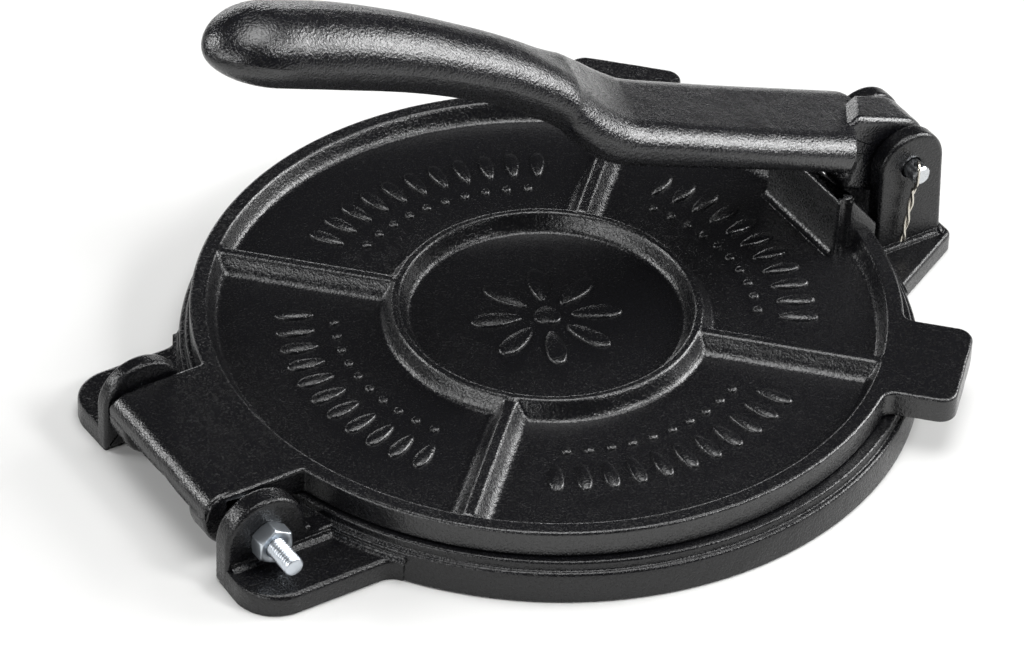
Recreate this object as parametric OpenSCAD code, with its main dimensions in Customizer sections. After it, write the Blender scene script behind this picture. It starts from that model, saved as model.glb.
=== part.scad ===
// Cast-iron tortilla press, closed, with its lever resting on the upper plate.
// Millimetres. The origin is the centre of the base disc on the table, +Z up,
// +X from the hinge towards the post that carries the lever.

/* [Base plate] */
// How far the flat pressing face reaches past the upper plate
base_lip = 2.4; // [1.2:0.1:4]
// Width of the step round the pressing face
base_step = 1.7; // [1:0.1:3]
// How much the outer wall leans out towards the table, for draft
base_draft = 0.8; // [0.4:0.1:1.5]
// Height of the drafted outer wall
base_wall_h = 9.7; // [8.5:0.1:11]
// Height of the pressing face above the table
base_h = 12.4; // [11.5:0.1:16]
// Thickness of the web over the hollow underside
base_web = 6; // [4:0.1:8]
// Thickness of the skirt round the hollow underside
skirt_t = 7; // [5:0.5:12]
// Radius of the boss in the middle of the underside
hub_r = 16; // [10:0.5:25]
// Thickness of the ribs under the base
base_rib_t = 5; // [3:0.5:8]

/* [Hinge] */
// Distance from the edge of the upper plate to the hinge bolt
hinge_out = 15.8; // [14.5:0.1:20]
// Sideways place of the middle of the hinge
hinge_y = -4.8; // [-8:0.1:8]
// Height of the hinge bolt above the table
hinge_z = 14.4; // [14:0.1:17]
// Radius of the base's hinge ears
ear_r = 12.6; // [10:0.1:14]
// How far the middle of the ears' round tops lies under the bolt
ear_drop = 0.5; // [0:0.1:1.5]
// How much the ears widen downwards on the side of the disc, in degrees
ear_flare = 20; // [10:1:30]
// Radius of the fillet between the ears and the low webs behind them
ear_fillet = 4; // [2:0.1:6]
// Thickness of the near hinge ear
ear_t = 6.8; // [5:0.1:9]
// Thickness of the far hinge ear
far_ear_t = 5.4; // [4.5:0.1:9]
// Distance between the inner faces of the hinge ears
ear_gap = 61.4; // [60.5:0.1:70]
// Width of the foot outside the near hinge ear
toe_w = 17.4; // [16:0.1:24]
// Width of the foot outside the far hinge ear
far_toe_w = 20.5; // [16:0.1:24]
// Height of the feet at the hinge
toe_h = 7; // [5:0.1:8]
// Radius of the concave corners where the feet leave the disc
web_fillet = 7; // [3:0.5:8]

/* [Lever post] */
// Distance from the edge of the upper plate to the lever pin
post_out = 13.8; // [12.4:0.1:18]
// Sideways place of the middle of the post and the lever
pin_y = 1.4; // [-6:0.1:6]
// Height of the lever pin above the table
pin_z = 34; // [33:0.1:38]
// Radius of the post's two ears
post_r = 11.3; // [9:0.1:11.6]
// Thickness of each ear of the post
post_t = 6; // [5:0.1:8]
// Gap between the two ears of the post
post_gap = 16.2; // [16:0.1:18]
// How much wider each ear is at its foot, for draft
post_draft = 1.4; // [0:0.1:3]
// Height of the foot under the post
heel_h = 6.5; // [5:0.1:8]
// Half the width of the post's foot where it leaves the disc
heel_root_w = 29; // [27:0.5:36]
// Half the width of the post's foot at its outer end
heel_tip_w = 17.2; // [15.5:0.1:20]
// How far the post's foot reaches past the lever pin
heel_reach = 15.2; // [15:0.1:24]
// Corner radius of the outer end of the post's foot
heel_corner = 3; // [2:0.5:8]

/* [Upper plate] */
// Radius of the upper plate
plate_r = 101.6; // [92:0.1:102]
// Thickness of the upper plate
plate_t = 8; // [7:0.1:9]
// How far the plate's middle lies towards the hinge
plate_dx = -0.9; // [-1.5:0.1:0]
// How far the plate's middle lies to the side
plate_dy = 0.6; // [-1:0.1:1]
// Width of the raised rim's flat top
rim_w = 4.8; // [3:0.1:8]
// Depth of the recesses inside the rim
recess_d = 5.2; // [4:0.1:5.5]
// Inner radius of the ring round the middle
ring_r = 42.2; // [30:0.1:55]
// Width of that ring's flat top
ring_w = 2.2; // [1.5:0.1:4]
// How far the ring's and the rim's walls lean between top and floor
wall_lean = 2.6; // [1:0.1:4]
// Width of the flat top of the four ribs
rib_w = 2.7; // [2:0.1:5]
// How much wider each side of a rib is at the floor
rib_lean = 3.4; // [1:0.1:5]
// How far the ribs stay below the rim
rib_drop = 0.5; // [0.2:0.1:1.5]
// Radius of the fillets at the foot of the recesses
recess_fillet = 1.5; // [0.8:0.1:1.8]
// Radius of the rounded edges of the castings
edge_r = 1; // [0.5:0.1:1.5]

/* [Tabs] */
// Width of the two lifting tabs
tab_w = 34.2; // [24:0.1:44]
// How far the tabs reach past the plate's edge
tab_l = 18.6; // [12:0.1:26]
// How far the tabs are set round from the ribs
tab_shift = 2.4; // [0:0.1:5]
// Corner radius of the tabs
tab_corner = 5; // [3:0.5:10]
// Radius of the concave corners where the tabs leave the plate
tab_fillet = 3.5; // [1.5:0.5:5]

/* [Tongue] */
// Width of the tongue that joins the plate to its hinge
tongue_w = 54; // [48:0.1:56]
// How far the tongue is set aside from the middle of the hinge
tongue_shift = 3; // [2.2:0.1:3]
// Radius of the rounded nose of the tongue
tongue_nose_r = 5.6; // [3:0.1:6]
// How far the tongue's nose leans back towards its lower face
tongue_lean = 1.8; // [0:0.1:2.5]
// Radius of the two lugs under the tongue
lug_r = 12; // [10:0.1:12.2]
// Width of each lug
lug_w = 9; // [7:0.1:12]

/* [Pressure block] */
// Half the width of the block that the lever presses on
block_hw = 17.4; // [12:0.1:20]
// Distance from the lever pin to the inner face of the block, at its top
block_back = 27.9; // [25:0.1:33]
// Height of the block's top above the plate
block_h = 13.3; // [10:0.1:14]
// Gap between the block and the post's ears
block_gap = 2.5; // [1:0.1:3.5]
// How much the block's inner wall leans, for draft
block_draft = 1.2; // [0.5:0.1:2]
// Radius of the upright groove in each end of the block
block_groove_r = 2.2; // [1.5:0.1:2.6]
// Depth of that groove
block_groove_t = 1.4; // [0.6:0.1:1.5]

/* [Lever] */
// Slope of the lever above the table when it rests on the block
rest_angle = 22; // [22:0.5:30]
// How far the lever's end reaches below the pin, across the lever
knuckle_r = 12.8; // [12:0.1:13]
// How far the lever's end reaches above the pin, across the lever
knuckle_top = 13.2; // [12:0.1:14]
// Radius of the rounded back of the lever's end
knuckle_back_r = 11; // [9:0.1:11.5]
// Distance from the pin to the inner face of the lever's end
knuckle_u = 16.3; // [15.5:0.1:17]
// Radius of the nose that presses on the block
nose_r = 2; // [1.5:0.1:3]
// Length of the ramp from the lever's end down to its arm
ramp_l = 9; // [6:0.1:14]
// Width of the lever's flat arm
arm_w = 34; // [28:0.1:38]
// Thickness of the lever's flat arm
arm_t = 12; // [9:0.1:14]
// Length of the flat part of the arm
arm_l = 103; // [90:1:130]
// Length of the bent neck between arm and grip
neck_l = 48; // [42:1:60]
// Length of the grip
grip_l = 101; // [90:1:120]
// Width of the grip
grip_w = 28.5; // [22:0.1:34]
// Thickness of the grip
grip_t = 21.6; // [16:0.1:26]
// How far the grip is raised above the line of the arm
grip_rise = 20; // [10:0.1:30]

/* [Hardware] */
// Diameter of the hinge bolt
bolt_d = 6; // [5:0.1:7]
// How far the hinge bolt reaches past its nut
bolt_out = 9.8; // [3:0.1:15]
// Width of the bolt head and the nut across their flats
hex_af = 10; // [9.5:0.1:13]
// Height of the bolt's head
head_h = 4; // [3:0.1:6]
// Height of the nut
nut_h = 5.2; // [4:0.1:7]
// Diameter of the lever pin
pin_d = 6; // [5:0.1:7]
// Diameter of the lever pin's head
pin_head_d = 10; // [8:0.1:12]
// Height of the lever pin's head
pin_head_h = 2.5; // [2:0.1:4]
// Length of the lever pin past the near ear
pin_out = 5; // [4.5:0.1:8]
// Chamfer at the ends of the bolt and the pin
end_chamfer = 0.6; // [0.3:0.1:1]
// Diameter of the hole across the lever pin
clip_hole_d = 2.6; // [2.5:0.1:3]
// Thickness of the clip's wire
clip_wire_d = 1; // [0.8:0.1:1.1]
// Length of the clip's legs under the pin
clip_leg_l = 21; // [14:0.5:22]
// Radius of the clip's eye above the pin
eye_r = 1.5; // [1.4:0.1:2.4]
// How far the clip's legs lean inwards over their length
leg_lean = 3.2; // [1:0.1:4]
// Height of the waves in the clip's legs
leg_wave = 0.9; // [0.4:0.1:1.2]

/* [Clearances] */
// Gap between the upper plate and the base when closed
plate_gap = 0.3; // [0.2:0.1:1]
// Radial clearance of the hinge bolt and the lever pin in their bores
bore_gap = 0.3; // [0.15:0.05:0.4]
// Gap between the lever's end and each ear of the post
knuckle_gap = 0.55; // [0.3:0.05:1.2]
// Gap between the lever's nose and the block when the lever rests
nose_gap = 0.3; // [0.2:0.1:1]
// Radial clearance between the nut and the bolt
nut_gap = 0.05; // [0.02:0.01:0.1]

/* [Hidden] */
iron = [0.13, 0.13, 0.14];
iron_plate = [0.16, 0.16, 0.17];
iron_lever = [0.2, 0.2, 0.21];
zinc = [0.74, 0.78, 0.82];
clip_steel = [0.8, 0.79, 0.76];
eps = 0.01;
arc_steps = 5;
base_top_r = plate_r + base_lip;
base_wall_r = base_top_r + base_step;
base_r = base_wall_r + base_draft;
hinge_x = plate_r + hinge_out;
pin_x = plate_r + post_out;
tab_reach = plate_r + tab_l;
ear_root = 14;
heel_root = 12;
tongue_root = 14;
skirt_r = base_r - skirt_t;
underside_draft = 0.8;
plate_z0 = base_h + plate_gap;
plate_z1 = plate_z0 + plate_t;
floor_z = plate_z1 - recess_d;
rim_r = plate_r - rim_w;
near_ear_y = hinge_y - ear_gap / 2;
far_ear_y = hinge_y + ear_gap / 2;
lobe_z = hinge_z - ear_drop;
bolt_l = ear_t + ear_gap + far_ear_t + nut_h + bolt_out;
hinge_bore_d = bolt_d + 2 * bore_gap;
pin_bore_d = pin_d + 2 * bore_gap;
post_w = post_gap + 2 * post_t;
knuckle_w = post_gap - 2 * knuckle_gap;
post_back_x = pin_x - post_r + 0.3;
block_x1 = post_back_x - block_gap;
block_x0 = pin_x - block_back;
block_z = plate_z1 + block_h;
nose_u = knuckle_u - nose_r;
nose_v = nose_r - knuckle_r;
nose_x = pin_x - nose_u * cos(rest_angle) + nose_v * sin(rest_angle);
nose_z = pin_z + nose_u * sin(rest_angle) + nose_v * cos(rest_angle);
block_slope = atan2(nose_z - plate_z1, nose_x - block_x1)
    + asin((nose_r + nose_gap) / norm([nose_x - block_x1, nose_z - plate_z1]));
block_top_x = block_x1 + block_h / tan(block_slope);
lever_l = arm_l + neck_l + grip_l;

// Points of an arc of radius r about (x, y), from angle a0 to angle a1.
function arc(x, y, r, a0, a1, steps = arc_steps) =
    [for (i = [0:steps]) let (a = a0 + (a1 - a0) * i / steps) [x + r * cos(a), y + r * sin(a)]];

// Extrudes a shape drawn in X and Z along Y, from y0 to y1.
module along_y(y0, y1) {
    translate([0, y1, 0]) rotate([90, 0, 0]) linear_extrude(y1 - y0) children();
}

// The same with both outer edges rounded. It suits outlines without concave corners.
module rounded_along_y(y0, y1) {
    hull() for (a = [0:30:90]) {
        in = edge_r * (1 - cos(a));
        out = edge_r * (1 - sin(a));
        along_y(y0 + out, y1 - out) offset(delta = -in) children();
    }
}

// A round bar along Y, from y0 to y1, through (x, z).
module bar_y(x, z, d, y0, y1, sides = 64) {
    translate([x, y1, z]) rotate([90, 0, 0]) cylinder(d = d, h = y1 - y0, $fn = sides);
}

// Distance from a disc's centre to the middle of a fillet of radius f that blends the disc,
// of radius r, with a straight edge that runs radially, w to the side of the centre.
function fillet_at(r, f, w) = sqrt(pow(r + f, 2) - pow(w + f, 2));

// Drafted disc with a stepped edge, the body of the base.
module base_disc() {
    rotate_extrude($fn = 128) polygon(concat(
        [[0, 0], [base_r, 0]],
        arc(base_wall_r - edge_r, base_wall_h - edge_r, edge_r, 0, 90),
        [[base_top_r + edge_r / 2, base_wall_h], [base_top_r, base_h - edge_r / 2],
         [base_top_r - edge_r / 2, base_h], [0, base_h]]));
}

// Hollow underside, open between a cross of ribs, with a skirt round it and a hub in the middle.
module base_hollow() {
    hollow_h = base_h - base_web;
    difference() {
        rotate_extrude($fn = 128) polygon([
            [hub_r, -eps], [hub_r + underside_draft, hollow_h],
            [skirt_r - underside_draft, hollow_h], [skirt_r, -eps]]);
        for (turn = [0, 90])
            rotate(turn) translate([-base_r, -base_rib_t / 2, -1])
                cube([2 * base_r, base_rib_t, hollow_h + 2]);
    }
}

// What stands outside the hollow underside, h high at least, of the given children.
module outside_skirt(h) {
    difference() {
        children();
        translate([0, 0, -1]) cylinder(r = skirt_r + 1, h = h + 2, $fn = 128);
    }
}

// One foot at the hinge: a flat toe beside the ear, blended into the disc.
// side is -1 for the near foot and 1 for the far one.
module toe(side) {
    inner = side * ear_gap / 2 + hinge_y;
    outer = inner + side * (side < 0 ? ear_t + toe_w : far_ear_t + far_toe_w);
    reach = abs(outer);
    turn_x = -fillet_at(base_r, web_fillet, reach);
    corner_x = -hinge_x;
    linear_extrude(toe_h) mirror([0, side < 0 ? 1 : 0]) polygon(concat(
        [[-hinge_x - ear_r, abs(inner)]],
        arc(corner_x, reach - ear_r, ear_r, 180, 90, 8),
        arc(turn_x, reach + web_fillet, web_fillet, 270,
            270 + atan2(-turn_x, reach + web_fillet), 8),
        [[-base_r / 2, reach - 2], [-base_r / 2, abs(inner)]]));
}

// One hinge ear: a round lobe round the bolt that runs down to the foot. It widens towards
// the disc, where a low web takes it up.
module hinge_ear(y0, t) {
    foot_x = -hinge_x + (ear_r + lobe_z * sin(ear_flare)) / cos(ear_flare);
    rounded_along_y(y0, y0 + t) polygon(concat(
        [[-hinge_x - ear_r, 0]],
        arc(-hinge_x, lobe_z, ear_r, 180, ear_flare, 16),
        [[foot_x, 0]]));
}

// The low web that joins one hinge ear to the disc, with a fillet up to the ear.
module ear_web(y0, t) {
    back_x = -base_r + ear_root;
    corner_x = -hinge_x + (ear_r - (base_wall_h - lobe_z) * sin(ear_flare)) / cos(ear_flare);
    run = ear_fillet * tan((90 - ear_flare) / 2);
    along_y(y0, y0 + t) polygon(concat(
        [[-hinge_x, 0], [back_x, 0], [back_x, base_wall_h]],
        arc(corner_x + run, base_wall_h + ear_fillet, ear_fillet, 270, 180 + ear_flare),
        [[-hinge_x, base_wall_h]]));
}

// The post's foot, tapering outwards from the disc.
module heel() {
    tip_x = pin_x + heel_reach;
    root_x = base_top_r - heel_root;
    lean = (heel_root_w - heel_tip_w) / (tip_x - base_wall_r);
    linear_extrude(heel_h) translate([0, pin_y]) polygon(concat(
        [[root_x, -heel_root_w - lean * (base_wall_r - root_x)]],
        arc(tip_x - heel_corner, -heel_tip_w + heel_corner, heel_corner, -90 + atan(lean), 0),
        arc(tip_x - heel_corner, heel_tip_w - heel_corner, heel_corner, 0, 90 - atan(lean)),
        [[root_x, heel_root_w + lean * (base_wall_r - root_x)]]));
}

// One ear of the post, round at the top and a little wider at its foot.
module post_ear(y0) {
    rounded_along_y(y0, y0 + post_t) polygon(concat(
        [[post_back_x, eps], [pin_x + post_r + post_draft, eps]],
        arc(pin_x, pin_z, post_r, 0, 170, 20),
        [[post_back_x, pin_z]]));
}

module base_plate() color(iron) difference() {
    union() {
        difference() {
            base_disc();
            base_hollow();
        }
        outside_skirt(toe_h) {
            for (side = [-1, 1]) toe(side);
            ear_web(near_ear_y - ear_t, ear_t);
            ear_web(far_ear_y, far_ear_t);
        }
        hinge_ear(near_ear_y - ear_t, ear_t);
        hinge_ear(far_ear_y, far_ear_t);
        outside_skirt(heel_h) heel();
        post_ear(pin_y - post_w / 2);
        post_ear(pin_y + post_gap / 2);
    }
    bar_y(-hinge_x, hinge_z, hinge_bore_d, near_ear_y - ear_t - 1, far_ear_y + far_ear_t + 1);
    bar_y(pin_x, pin_z, pin_bore_d, pin_y - post_w / 2 - 1, pin_y + post_w / 2 + 1);
}

// The upper plate's disc with rounded edges.
module plate_disc() {
    rotate_extrude($fn = 128) polygon(concat(
        [[0, plate_z0]],
        arc(plate_r - edge_r / 2, plate_z0 + edge_r / 2, edge_r / 2, -90, 0),
        arc(plate_r - edge_r, plate_z1 - edge_r, edge_r, 0, 90),
        [[0, plate_z1]]));
}

// The recess between the ring and the rim, cut through by the four ribs.
module ring_recess() {
    inner = ring_r + ring_w;
    foot = recess_fillet;
    difference() {
        rotate_extrude($fn = 128) polygon(concat(
            [[inner, plate_z1 + 1], [inner, plate_z1]],
            arc(inner + wall_lean + foot, floor_z + foot, foot, 200, 270),
            arc(rim_r - wall_lean - foot, floor_z + foot, foot, 270, 340),
            [[rim_r, plate_z1], [rim_r, plate_z1 + 1]]));
        for (turn = [45:90:315]) rotate(turn) rib();
    }
}

// One radial rib with leaning sides, from the ring to the rim.
module rib() {
    top = plate_z1 - rib_drop;
    rise = top - floor_z;
    translate([ring_r, 0, 0]) rotate([90, 0, 90]) linear_extrude(plate_r - ring_r) polygon([
        [-rib_w / 2 - rib_lean * (1 + 1 / rise), floor_z - 1], [-rib_w / 2, top],
        [rib_w / 2, top], [rib_w / 2 + rib_lean * (1 + 1 / rise), floor_z - 1]]);
}

// The round recess inside the ring.
module middle_recess() {
    foot = recess_fillet;
    rotate_extrude($fn = 96) polygon(concat(
        [[0, plate_z1 + 1], [0, floor_z]],
        arc(ring_r - wall_lean - foot, floor_z + foot, foot, 270, 340),
        [[ring_r, plate_z1], [ring_r, plate_z1 + 1]]));
}

// One lifting tab, blended into the plate's edge. It points along +X.
module tab() {
    low = -tab_w / 2 + tab_shift;
    high = tab_w / 2 + tab_shift;
    low_turn = fillet_at(plate_r, tab_fillet, -low);
    high_turn = fillet_at(plate_r, tab_fillet, high);
    translate([0, 0, plate_z0]) linear_extrude(plate_t) polygon(concat(
        [[plate_r / 2, low]],
        arc(low_turn, low - tab_fillet, tab_fillet,
            180 - atan2(tab_fillet - low, low_turn), 90),
        arc(tab_reach - tab_corner, low + tab_corner, tab_corner, 270, 360),
        arc(tab_reach - tab_corner, high - tab_corner, tab_corner, 0, 90),
        arc(high_turn, high + tab_fillet, tab_fillet,
            270, 180 + atan2(high + tab_fillet, high_turn)),
        [[plate_r / 2, high]]));
}

// The tongue with its rounded nose, and the two lugs that hang from it round the bolt.
module tongue() {
    y0 = hinge_y - tongue_w / 2 + tongue_shift;
    y1 = y0 + tongue_w;
    end_x = -hinge_x - lug_r;
    root_x = -plate_r + tongue_root;
    along_y(y0, y1) polygon(concat(
        [[root_x, plate_z1]],
        arc(end_x + tongue_nose_r, plate_z1 - tongue_nose_r, tongue_nose_r, 90, 180, 8),
        [[end_x + tongue_lean, plate_z0], [root_x, plate_z0]]));
    lug_top = asin((plate_z1 - edge_r - hinge_z) / lug_r);
    for (y = [y0, y1 - lug_w]) rounded_along_y(y, y + lug_w)
        polygon(arc(-hinge_x, hinge_z, lug_r, 180 - lug_top, 360 + lug_top, 40));
}

// The block that the lever presses on: a wall across the rim with a sloping back.
module pressure_block() {
    foot_x = block_x0 - block_draft;
    groove_x = block_x0 + 0.65 * (block_top_x - block_x0);
    groove_y = block_hw + block_groove_r - block_groove_t;
    difference() {
        along_y(pin_y - block_hw, pin_y + block_hw) polygon([
            [foot_x, plate_z0], [foot_x, floor_z], [block_x0, block_z],
            [block_top_x, block_z], [block_x1, plate_z1], [block_x1, plate_z0]]);
        for (side = [-1, 1])
            translate([groove_x, pin_y + side * groove_y, floor_z + recess_fillet])
                cylinder(r = block_groove_r, h = block_h + recess_d, $fn = 32);
    }
}

module upper_plate() color(iron_plate) difference() {
    union() {
        translate([plate_dx, plate_dy, 0]) {
            difference() {
                plate_disc();
                ring_recess();
                middle_recess();
            }
            difference() {
                for (turn = [45, -45]) rotate(turn) tab();
                translate([0, 0, plate_z0 - 1]) cylinder(r = plate_r - 2, h = plate_t + 2, $fn = 128);
            }
        }
        difference() {
            tongue();
            translate([plate_dx, plate_dy, plate_z0 - 1]) cylinder(r = rim_r + 1, h = plate_t + 2, $fn = 128);
        }
        pressure_block();
    }
    bar_y(-hinge_x, hinge_z, hinge_bore_d, near_ear_y, far_ear_y);
}

// The lever's sections, from the post to the tip of the grip: distance from the pin, height of
// the middle above the line of the arm, width, thickness, and the corner radius across and up.
arm_v = 3.15;
bend_v = arm_v + grip_rise;
stations = [
    [0, arm_v, arm_w, arm_t, 4, 4],
    [0.55 * arm_l, arm_v, arm_w, arm_t, 4, 4],
    [0.78 * arm_l, arm_v + 0.01 * grip_rise, arm_w + 0.2, arm_t + 0.5, 4.2, 4.2],
    [arm_l, arm_v + 0.09 * grip_rise, arm_w + 0.3, arm_t + 1.5, 5, 4.8],
    [arm_l + 0.17 * neck_l, arm_v + 0.19 * grip_rise, arm_w - 0.6, arm_t + 2, 6.5, 5.2],
    [arm_l + 0.33 * neck_l, arm_v + 0.32 * grip_rise, arm_w - 3.5, arm_t + 2, 8.5, 6],
    [arm_l + 0.52 * neck_l, arm_v + 0.465 * grip_rise, grip_w - 1, arm_t + 3.2, 10.5, 7.4],
    [arm_l + neck_l, arm_v + 0.71 * grip_rise, grip_w - 2.4, grip_t - 4, 12.5, 8.7],
    [arm_l + neck_l + 0.19 * grip_l, arm_v + 0.87 * grip_rise, grip_w - 2.2, grip_t - 3.2, 13, 9.1],
    [arm_l + neck_l + 0.37 * grip_l, arm_v + 0.96 * grip_rise, grip_w - 1.2, grip_t - 1.6, 13.6, 10],
    [arm_l + neck_l + 0.6 * grip_l, bend_v, grip_w, grip_t, 14, 10.6],
    [arm_l + neck_l + 0.8 * grip_l, bend_v - 0.4, grip_w, grip_t, 14.2, 10.8]];
tip_u0 = arm_l + neck_l + 0.8 * grip_l;
tip_drop = 2;

// A smooth value between b and c, for t from 0 to 1, with slopes set by their neighbours.
function smooth_between(a, b, c, d, t) =
    b + (c - a) / 2 * t + (a - 2.5 * b + 2 * c - d / 2) * t * t
    + (-a + 3 * b - 3 * c + d) / 2 * t * t * t;

// The section at distance u along the lever.
function last_station(u) = max([for (i = [0:len(stations) - 2]) if (stations[i][0] <= u) i]);
function section(u) =
    let (i = last_station(u), n = len(stations) - 1,
         a = stations[max(i - 1, 0)], b = stations[i], c = stations[i + 1], d = stations[min(i + 2, n)],
         t = (u - b[0]) / (c[0] - b[0]))
    [for (k = [1:5]) smooth_between(a[k], b[k], c[k], d[k], t)];

// One ring of points: a rectangle w wide and h high with elliptical corners of rx and rz.
corner_steps = 7;
function ring_points(u, s, shrink = 1, skew = 0) =
    let (w = s[1] / 2, h = s[2] / 2, rx = min(s[3], w - eps), rz = min(s[4], h - eps))
    [for (q = [0:3], i = [0:corner_steps])
        let (a = 90 * q + 90 * i / corner_steps, sx = (q == 0 || q == 3) ? 1 : -1, sz = q < 2 ? 1 : -1,
             y = shrink * (sx * (w - rx) + rx * cos(a)), z = shrink * (sz * (h - rz) + rz * sin(a)))
        [-(u - skew * y), y, s[0] + z]];

// The arm and grip: rings along the lever, with a slanting shoulder and a rounded tip.
shoulder_u = 19;
shoulder_skew = 0.28;
skew_fades_u = 45;
ring_pitch = 4;
tip_rings = 6;
module arm() {
    arm_rings = ceil((tip_u0 - shoulder_u) / ring_pitch);
    tip_l = lever_l - tip_u0;
    rings = concat(
        [for (i = [0:arm_rings - 1])
            let (u = shoulder_u + (tip_u0 - shoulder_u) * i / arm_rings)
            ring_points(u, section(u), 1, shoulder_skew * max(0, (skew_fades_u - u) / (skew_fades_u - shoulder_u)))],
        [for (i = [0:tip_rings - 1])
            let (a = 90 * i / tip_rings, u = tip_u0 + tip_l * sin(a), s = section(tip_u0 - eps))
            ring_points(u, [s[0] - tip_drop * (1 - cos(a)), s[1], s[2], s[3], s[4]], cos(a))]);
    n = 4 * (corner_steps + 1);
    m = len(rings);
    tip = [-lever_l, 0, bend_v - 0.4 - tip_drop];
    points = concat([for (r = rings) each r], [tip, [-shoulder_u, 0, arm_v]]);
    sides = [for (j = [0:m - 2], i = [0:n - 1]) let (k = (i + 1) % n)
        each [[j * n + i, (j + 1) * n + k, (j + 1) * n + i], [j * n + i, j * n + k, (j + 1) * n + k]]];
    tip_faces = [for (i = [0:n - 1]) [(m - 1) * n + i, (m - 1) * n + (i + 1) % n, m * n]];
    root_faces = [for (i = [0:n - 1]) [(i + 1) % n, i, m * n + 1]];
    polyhedron(points, concat(sides, tip_faces, root_faces));
}

// The lever's end between the ears: level on top and round behind the pin, with a nose
// towards the block and a ramp down to the top of the arm.
knuckle_flat_u = 2;
module knuckle() {
    ramp_u = knuckle_u + ramp_l;
    arm_top = arm_v + arm_t / 2;
    back_x = knuckle_back_r - knuckle_flat_u;
    along_y(-knuckle_w / 2, knuckle_w / 2) polygon(concat(
        arc(-knuckle_flat_u, knuckle_top - knuckle_back_r, knuckle_back_r, 90, 0, 14),
        arc(back_x - knuckle_r, 0, knuckle_r, 0, -90, 14),
        arc(-knuckle_u + nose_r, -knuckle_r + nose_r, nose_r, 270, 180),
        [[-knuckle_u, arm_top - arm_t + 2], [-ramp_u, arm_top - arm_t + 2], [-ramp_u, arm_top - 0.5],
         [-knuckle_u, knuckle_top]]));
}

module lever() color(iron_lever) translate([pin_x, pin_y, pin_z]) rotate([0, rest_angle, 0])
    difference() {
        union() {
            arm();
            knuckle();
        }
        bar_y(0, 0, pin_bore_d, -knuckle_w, knuckle_w);
    }

// A hexagon of the given width across its flats, h high, with its corners turned down.
module hexagon(af, h) {
    intersection() {
        cylinder(d = af / cos(30), h = h, $fn = 6);
        rotate_extrude($fn = 64) polygon([
            [0, 0], [af * 0.49, 0], [af * 0.58, h * 0.12], [af * 0.58, h * 0.88], [af * 0.49, h], [0, h]]);
    }
}

module hinge_bolt() color(zinc) {
    head_y = far_ear_y + far_ear_t;
    translate([-hinge_x, head_y, hinge_z]) rotate([90, 0, 0]) {
        rotate_extrude($fn = 64) polygon([
            [0, -eps], [bolt_d / 2, -eps], [bolt_d / 2, bolt_l - end_chamfer],
            [bolt_d / 2 - end_chamfer, bolt_l], [0, bolt_l]]);
        translate([0, 0, -head_h]) hexagon(hex_af, head_h);
    }
}

module hinge_nut() color(zinc) {
    translate([-hinge_x, near_ear_y - ear_t, hinge_z]) rotate([90, 0, 0]) difference() {
        hexagon(hex_af, nut_h);
        translate([0, 0, -1]) cylinder(d = bolt_d + 2 * nut_gap, h = nut_h + 2, $fn = 64);
    }
}

clip_y = pin_y - post_w / 2 - pin_out / 2;

module lever_pin() color(zinc) difference() {
    translate([pin_x, pin_y + post_w / 2, pin_z]) rotate([90, 0, 0]) {
        rotate_extrude($fn = 64) polygon([
            [0, -eps], [pin_d / 2, -eps], [pin_d / 2, post_w + pin_out - end_chamfer],
            [pin_d / 2 - end_chamfer, post_w + pin_out], [0, post_w + pin_out]]);
        translate([0, 0, -pin_head_h]) rotate_extrude($fn = 64) polygon([
            [0, 0], [pin_head_d / 2 - end_chamfer, 0], [pin_head_d / 2, end_chamfer],
            [pin_head_d / 2, pin_head_h], [0, pin_head_h]]);
    }
    translate([pin_x, clip_y, pin_z - pin_d]) cylinder(d = clip_hole_d, h = 2 * pin_d, $fn = 32);
}

// A tube of radius r along points that lie near one upright plane across Y.
tube_sides = 8;
module tube(path, r) {
    n = len(path);
    rings = [for (i = [0:n - 1])
        let (d = path[min(i + 1, n - 1)] - path[max(i - 1, 0)], t = d / norm(d),
             side = cross([0, 1, 0], t), a = side / norm(side), b = cross(t, a))
        [for (k = [0:tube_sides - 1]) let (g = 360 * k / tube_sides) path[i] + r * (cos(g) * a + sin(g) * b)]];
    s = tube_sides;
    polyhedron(
        [for (ring = rings) each ring],
        concat(
            [[for (k = [0:s - 1]) k]],
            [for (i = [0:n - 2], k = [0:s - 1]) let (q = (k + 1) % s)
                each [[i * s + k, (i + 1) * s + k, (i + 1) * s + q], [i * s + k, (i + 1) * s + q, i * s + q]]],
            [[for (k = [s - 1:-1:0]) (n - 1) * s + k]]));
}

// The clip: one wire bent into an eye above the pin, both ends led down through the pin's
// hole and waved along the ear. It is one tube from leg to leg over the eye.
leg_gap = 0.2;
clip_half = (clip_wire_d + leg_gap) / 2;
function leg_x(drop, side) =
    -leg_lean * drop / clip_leg_l + side * clip_half
    + leg_wave * sin(150 + 430 * drop / clip_leg_l) * min(1, drop / 4) * (side > 0 ? 1 : 0.8);
module pin_clip() color(clip_steel) {
    steps = 14;
    top = pin_d / 2 + 1.2;
    foot = -pin_d / 2;
    leg = [for (i = [0:steps]) let (drop = clip_leg_l * (1 - i / steps)) [drop, foot - drop]];
    path = concat(
        [for (p = leg) [pin_x + leg_x(p[0], -1), clip_y, pin_z + p[1]]],
        [[pin_x - clip_half, clip_y, pin_z + top - 0.4]],
        [for (a = [225:-22.5:-45]) [pin_x + eye_r * cos(a), clip_y, pin_z + top + eye_r + eye_r * sin(a)]],
        [[pin_x + clip_half, clip_y, pin_z + top - 0.4]],
        [for (i = [steps:-1:0]) [pin_x + leg_x(leg[i][0], 1), clip_y, pin_z + leg[i][1]]]);
    tube(path, clip_wire_d / 2);
}

base_plate();
upper_plate();
lever();
hinge_bolt();
hinge_nut();
lever_pin();
pin_clip();
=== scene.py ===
import bpy
import numpy as np
from mathutils import Matrix, Vector


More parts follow.
